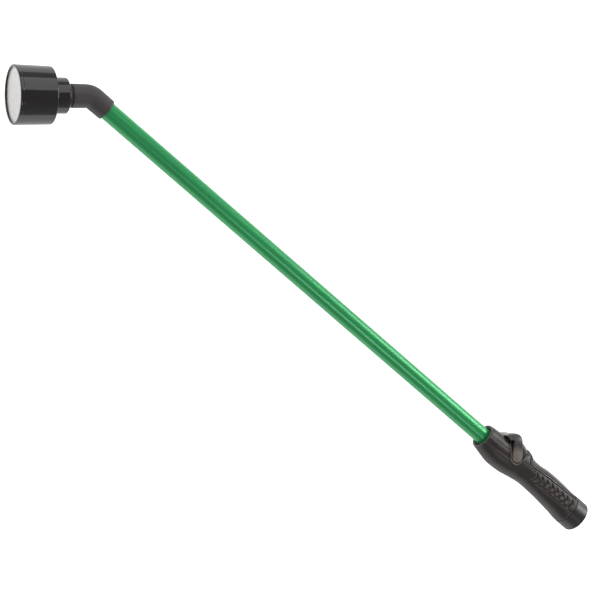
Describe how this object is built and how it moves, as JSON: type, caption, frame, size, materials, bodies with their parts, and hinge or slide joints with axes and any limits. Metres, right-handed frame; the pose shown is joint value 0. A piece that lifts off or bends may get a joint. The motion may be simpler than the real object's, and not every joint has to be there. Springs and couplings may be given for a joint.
{
  "type": "watering wand",
  "caption": "Garden watering wand: hose inlet and grip with a thumb-lever valve, a straight tube, an angled elbow and a screw-on shower head.",
  "frame": {"origin": "centre of the hose inlet's mouth, on the axis of its thread", "axes": "+X along the tube from the inlet to the head; +Y to the belly side, which the head bends towards; +Z to the wand's left side, up when it lies on a bench"},
  "size_m": [0.8138, 0.0979, 0.0588],
  "materials": {
    "coupling_plastic": "moulded satin",
    "grip_rubber": "soft moulded",
    "inlay_plastic": "satin with a polished border",
    "core_plastic": "moulded",
    "lever_plastic": "satin",
    "valve_plastic": "moulded",
    "seat_plastic": "moulded",
    "seal_rubber": "moulded",
    "tube_green": "green lacquered aluminium",
    "elbow_plastic": "satin",
    "head_plastic": "polished",
    "liner_plastic": "moulded",
    "face_steel": "fine brushed"
  },
  "bodies": {
    "root": {"inlet_coupling": "coupling_plastic", "hose_washer": "seal_rubber", "handle_core": "core_plastic", "grip_cover": "grip_rubber", "grip_inlay": "inlay_plastic", "valve_seat_inlet": "seat_plastic", "valve_seat_outlet": "seat_plastic", "valve_cap": "core_plastic", "cap_oring": "seal_rubber", "lever_washers": "seat_plastic", "tube_orings": "seal_rubber", "tube": "tube_green", "elbow": "elbow_plastic", "elbow_oring": "seal_rubber"},
    "thumb_lever": {"lever": "lever_plastic", "valve_plug": "valve_plastic", "stem_orings": "seal_rubber"},
    "head_seal": {"breaker_washer": "seal_rubber"},
    "shower_head": {"breaker_housing": "head_plastic", "breaker_baffle": "liner_plastic", "baffle_spacer": "liner_plastic", "face_gasket": "seal_rubber", "breaker_face": "face_steel"}
  },
  "joints": [
    {"name": "lever_turn", "type": "hinge", "parent": "root", "child": "thumb_lever", "pos_m": [0.118, -0.0023, 0], "axis": [0, 0, -1], "range_deg": [0, 50]},
    {"name": "breaker_backoff", "type": "slide", "parent": "root", "child": "head_seal", "axis": [0.766, 0.6428, 0], "range_m": [0, 0.0091]},
    {"name": "breaker_turn", "type": "hinge", "parent": "head_seal", "child": "shower_head", "pos_m": [0.735, 0, 0], "axis": [0.766, 0.6428, 0], "range_deg": [0, 1800]}
  ],
  "couplings": [
    {"joint": "breaker_backoff", "follows": "breaker_turn", "m_per_rad": 0.00028875}
  ]
}
